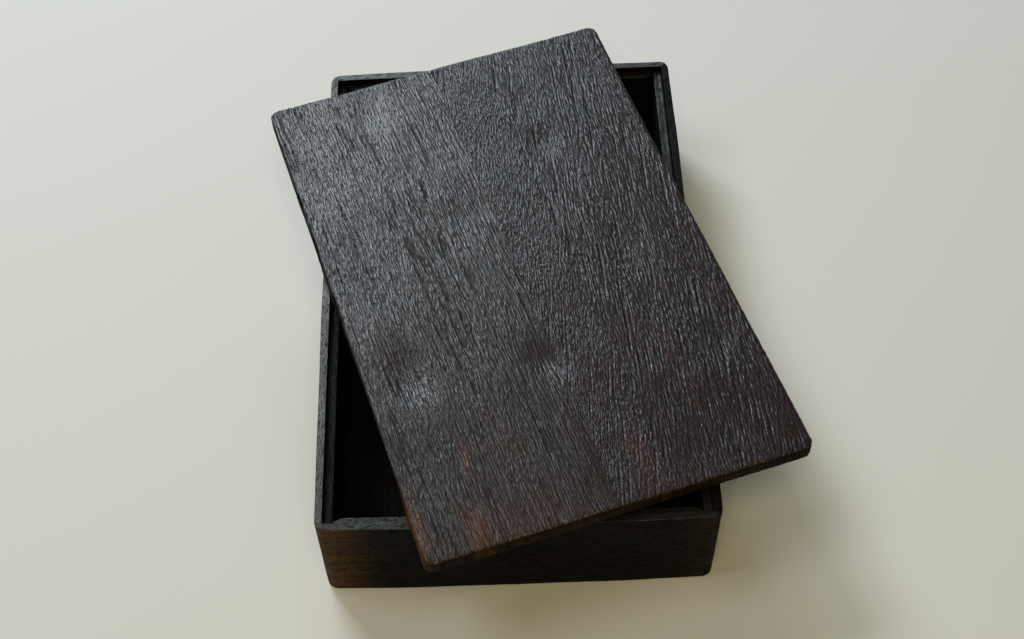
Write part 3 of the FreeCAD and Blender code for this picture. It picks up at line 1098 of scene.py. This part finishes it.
def wood_place(tree, board_turn):
    """Where a point is on its board in millimetres, and how high its grain stands there."""
    if board_turn is None:
        place = add_node(tree, "ShaderNodeAttribute", {"attribute_name": "grain"}).outputs["Vector"]
        return place, add_node(tree, "ShaderNodeAttribute", {"attribute_name": "relief"}).outputs["Fac"]
    coordinates = add_node(tree, "ShaderNodeTexCoord").outputs["Object"]
    place = add_node(tree, "ShaderNodeMapping", None, {
        "Vector": coordinates, "Rotation": (0, 0, math.radians(board_turn)),
        "Scale": (1 / MM, 1 / MM, 1 / MM)})
    plain = wood_noise(tree, place, PLAIN_RELIEF_SIZE, own=5.0, detail=2.0)
    return place, add_node(tree, "ShaderNodeMapRange", SMOOTH, {"Value": plain, **PLAIN_RELIEF_EDGE})


print("a plain board's grain is", PLAIN_RELIEF_SIZE[0], "mm wide")

# %% colour of the wood


def wood_colour(tree, relief, streak, pore, stain, bare, warm):
    """Stain in the low places, bare wood on the ridges, brown in worn patches, which at the front wall's
    left end are partly painted light, and black pores.
    """
    by_relief = add_node(tree, "ShaderNodeMath", MULTIPLY, {0: relief, 1: RELIEF_SHARE})
    by_streak = add_node(tree, "ShaderNodeMath", MULTIPLY, {0: streak, 1: STREAK_SHARE})
    rubbed = add_node(tree, "ShaderNodeMath", ADD, {0: by_relief, 1: by_streak})
    worn = add_node(tree, "ShaderNodeAttribute", {"attribute_name": "warm"}).outputs["Fac"]
    streaky = add_node(tree, "ShaderNodeMapRange", SMOOTH, {"Value": streak, "To Min": STREAK_FLOOR})
    patch = add_node(tree, "ShaderNodeMath", MULTIPLY, {0: worn, 1: streaky})
    patch = add_node(tree, "ShaderNodeMapRange", SMOOTH, {"Value": patch})
    inked = add_node(tree, "ShaderNodeMath", MULTIPLY, {0: pore, 1: PORE_DARKNESS})
    colour = hex_colour(stain)
    # Among the sockets of a colour Mix, 0 is the share, 6 and 7 are the colours and 2 is the result.
    for share, over in ((rubbed, bare), (patch, warm), (inked, PORE_COLOUR)):
        colour = add_node(tree, "ShaderNodeMix", {"data_type": "RGBA"}, {
            0: share, 6: colour, 7: hex_colour(over)}).outputs[2]
    return colour


print("a pore covers", PORE_DARKNESS, "of the colour under it")

# %% stained wood


def stained_wood(name, stain, bare, warm, gloss, sheen, board_turn=None):
    """Dark stained hardwood.

    stain is the colour in the low places, bare on the ridges and warm in the worn patches. gloss is the
    roughness on the ridges and in the valleys, and sheen how strongly the skin reflects. With a
    board_turn the pattern runs that way, in degrees."""
    # The warm colour stands for worn stain, and at the front wall's left end also for painted light.
    material = bpy.data.materials.new(name)
    material.use_nodes = True
    tree = material.node_tree
    shader = tree.nodes["Principled BSDF"]
    place, relief = wood_place(tree, board_turn)

    streak = wood_noise(tree, place, STREAK_SIZE, own=3.0, detail=3.0)
    streak = add_node(tree, "ShaderNodeMapRange", SMOOTH, {"Value": streak, **STREAK_EDGE})
    fibre = wood_noise(tree, place, FIBRE_SIZE, own=1.0)
    pore = wood_noise(tree, place, PORE_SIZE, own=9.0)
    pore = add_node(tree, "ShaderNodeMapRange", SMOOTH, {"Value": pore, **PORE_EDGE})

    skin = add_node(tree, "ShaderNodeMapRange", SMOOTH, {
        "Value": relief, "To Min": gloss[1], "To Max": gloss[0]})
    in_pores = add_node(tree, "ShaderNodeMath", MULTIPLY, {0: pore, 1: PORE_DULLNESS})
    roughness = add_node(tree, "ShaderNodeMath", ADD, {0: skin, 1: in_pores})
    fibres = add_node(tree, "ShaderNodeMath", MULTIPLY, {0: fibre, 1: FIBRE_HEIGHT})
    height = add_node(tree, "ShaderNodeMath", SUBTRACT, {0: fibres, 1: pore})
    bump = add_node(tree, "ShaderNodeBump", None, {
        "Strength": 1.0, "Distance": PORE_DEPTH * MM, "Height": height})

    colour = wood_colour(tree, relief, streak, pore, stain, bare, warm)
    tree.links.new(colour, shader.inputs["Base Color"])
    tree.links.new(roughness.outputs[0], shader.inputs["Roughness"])
    tree.links.new(bump.outputs[0], shader.inputs["Normal"])
    shader.inputs["IOR"].default_value = LACQUER_IOR
    shader.inputs["Specular IOR Level"].default_value = sheen
    return material


print("index of the lacquer", LACQUER_IOR)

# %% woods of the lid
# A broken silvery sheen over near black, with brown where the front edge is worn.
lid_wood = stained_wood(
    "walnut, wire brushed, stained, wiped lacquer",
    stain="#100908", bare="#2b1614", warm="#47260f", gloss=(0.30, 0.42), sheen=0.56)
# The same skin on redder heartwood, with a weaker sheen, so the lid darkens to the right.
rosy_wood = stained_wood(
    "walnut, wire brushed, stained, rosy heartwood",
    stain="#100809", bare="#2a1416", warm="#3c1c1e", gloss=(0.30, 0.42), sheen=0.46)
print("woods of the lid", lid_wood.name, "and", rosy_wood.name)

# %% woods of the box
# Planed smooth and polished by hands, with the strongest sheen of the rim's copies as painted light: the
# rims that face the window are a pale grey line around the dark inside.
rim_wood = stained_wood(
    "walnut, planed, stained, rubbed by hands and painted light",
    stain="#17110e", bare="#2a211d", warm="#33261f", gloss=(0.36, 0.48), sheen=0.62)
# The same rim wood, darker and with less sheen, a duller grey: painted shade on the front rim, where the
# lid's shadow falls, and painted light on the front and right ledges, which it makes lighter than the
# ledge wood.
dimmed_rim_wood = stained_wood(
    "walnut, planed, stained, dimmed for painted light and shade",
    stain="#100d0c", bare="#1e1a18", warm="#2a211d", gloss=(0.40, 0.52), sheen=0.34)
# Oiled and matt, and darkened nearly to black as painted shade, since the sides face away from the
# window: only its worn corners are brown, and the front wall's left end is partly painted light.
side_wood = stained_wood(
    "walnut, planed, stained, dull oil and painted shade",
    stain="#040302", bare="#0d0805", warm="#5a3c1c", gloss=(0.5, 0.65), sheen=0.06)
# Straight from the saw under the same oil, and darker still as painted shade: the ledge is a dark step
# inside the rim where the rims shade it, at the left and the back, and the right wall's rim, which the
# lid shades, gets it too.
ledge_and_shaded_rim_wood = stained_wood(
    "walnut, sawn, stained, dull oil and painted shade",
    stain="#060404", bare="#100c0a", warm="#2a1c14", gloss=(0.5, 0.62), sheen=0.10)
# Stained and left at that, and darkened near to black as painted shade, since the inside lies in the
# lid's shadow.
UNPOLISHED_AND_SHADED = {
    "stain": "#060404", "bare": "#0e0a08", "warm": "#150d09", "gloss": (0.6, 0.75), "sheen": 0.1}
inner_wood = stained_wood("walnut, sawn, stained, unpolished, in painted shade", **UNPOLISHED_AND_SHADED)
box_woods = (rim_wood, dimmed_rim_wood, side_wood, ledge_and_shaded_rim_wood, inner_wood)
print("woods of the box", [wood.name for wood in box_woods])

# %% [markdown]
# ## Brushing the lid
#
# Each of the lid's boards was cut from another part of the log, which is why they differ. The left
# board's fibres are straight and its ridges long. The middle board crosses a wavy part, so its ridges
# are short, lean and crumble. The right board lies between the two. The boards are worked square to
# their own length, where the grain is easy to follow, and only then turned to lie askew on the box.

# %% brush the lid
LID_GRAIN = {
    "lid_left_board": {
        "Ridge Length": 16.0, "Slant": math.radians(-3), "Ridge Height": 0.27, "Furrow Depth": 0.40,
        "Crumbs": 0.30, "Wander": 2.5},
    "lid_middle_board": {
        "Ridge Length": 4.2, "Slant": math.radians(18), "Ridge Height": 0.26, "Ridge Spacing": 0.48,
        "Furrow Depth": 0.16, "Crumbs": 0.5},
    "lid_right_board": {
        "Ridge Length": 9.0, "Slant": math.radians(12), "Ridge Height": 0.30, "Ridge Spacing": 0.58,
        "Furrow Depth": 0.28},
}
LID_WOODS = {"lid_left_board": lid_wood, "lid_middle_board": rosy_wood, "lid_right_board": rosy_wood}

lid_place = Matrix.Translation(Vector((LID_CENTRE[0], LID_CENTRE[1], LID_UNDER)) * MM)
lay_askew = lid_place @ Matrix.Rotation(LID_TURN, 4, "Z")
for name, piece in lid_boards.items():
    woods = {"Material": LID_WOODS[name], "Side Material": side_wood}
    work_surface(piece, grain_tree, {**GRAIN_INPUTS, **LID_GRAIN[name], **woods})
    piece.data.transform(lay_askew)
    print(name, "has", len(piece.data.polygons), "faces and is of", LID_WOODS[name].name)

# %% [markdown]
# ## Planing the box
#
# The walls and the liners were planed and never brushed. The same tree makes that with its ridges
# almost flat and only the plane's waves left. Each wall and liner is given its own copy of the wood for
# its upper side, lighter or darker by where the light falls: painted light on the rims that face the
# window and on the lit ledges, and painted shade where the rims and the lid cast shadow.

# %% plane the walls and liners
WALL_GRAIN = {
    "Ridge Height": 0.05, "Ridge Spacing": 1.3, "Ridge Length": 9.0, "Wander": 4.0, "Wave Depth": 0.22}
LINER_GRAIN = {
    "Ridge Height": 0.05, "Ridge Spacing": 1.2, "Ridge Length": 8.0, "Wander": 2.0, "Wave Depth": 0.25}
# Lit and shaded copies of the rim's wood, chosen piece by piece: painted light and painted shade. The
# right wall and the left and back liners are not listed and get the ledge wood, which is painted shade.
TOP_WOODS = {
    "front_wall": dimmed_rim_wood, "back_wall": rim_wood, "left_wall": rim_wood,
    "front_liner": dimmed_rim_wood, "right_liner": dimmed_rim_wood}

for pieces, values, plain_wood in ((walls, WALL_GRAIN, side_wood), (liners, LINER_GRAIN, inner_wood)):
    for name, piece in pieces.items():
        top_wood = TOP_WOODS.get(name, ledge_and_shaded_rim_wood)
        woods = {"Material": top_wood, "Side Material": plain_wood}
        work_surface(piece, grain_tree, {**GRAIN_INPUTS, **values, **woods})
        print(name, "has", top_wood.name, "above and", plain_wood.name, "elsewhere")

# %% [markdown]
# ## Pieces that ride on the model
#
# Each new piece takes the place of the model's own solid and rides on the same body, so that the lid
# lifts off in one piece. The table names a slot for boards that belong together, which is only printed.

# %% ride
RIDES = (
    # pieces, body, slot
    (walls, "box", "box_walls"),
    (liners, "box", "box_liners"),
    (lid_boards, "lid", "lid_boards"),
)
for pieces, body, slot in RIDES:
    for name, piece in pieces.items():
        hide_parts(name)
        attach(piece, body)
    print(slot, "ride on", body)

# %% [markdown]
# ## Pieces kept from the model
#
# The bottom and the lid's battens are plain boards that hardly show, so the model's own solids stay
# and only get their wood. Their grain runs along each board, which is why each has its own turn: the
# front and back battens lie across the askew lid, and the side ones along it.

# %% kept pieces
GRAIN_TURNS = {
    "lid_front_batten": LID_TURN_DEGREES + 90.0,
    "lid_right_batten": LID_TURN_DEGREES,
    "lid_back_batten": LID_TURN_DEGREES + 90.0,
    "lid_left_batten": LID_TURN_DEGREES,
    "bottom_panel": 0.0,
}
# The kept pieces get the inside's near-black wood, which is partly painted shade.
for name, turn in GRAIN_TURNS.items():
    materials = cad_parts[name].data.materials
    materials.clear()
    materials.append(stained_wood(name + " wood", **UNPOLISHED_AND_SHADED, board_turn=-turn))
print("kept", {name: round(turn) for name, turn in GRAIN_TURNS.items()})
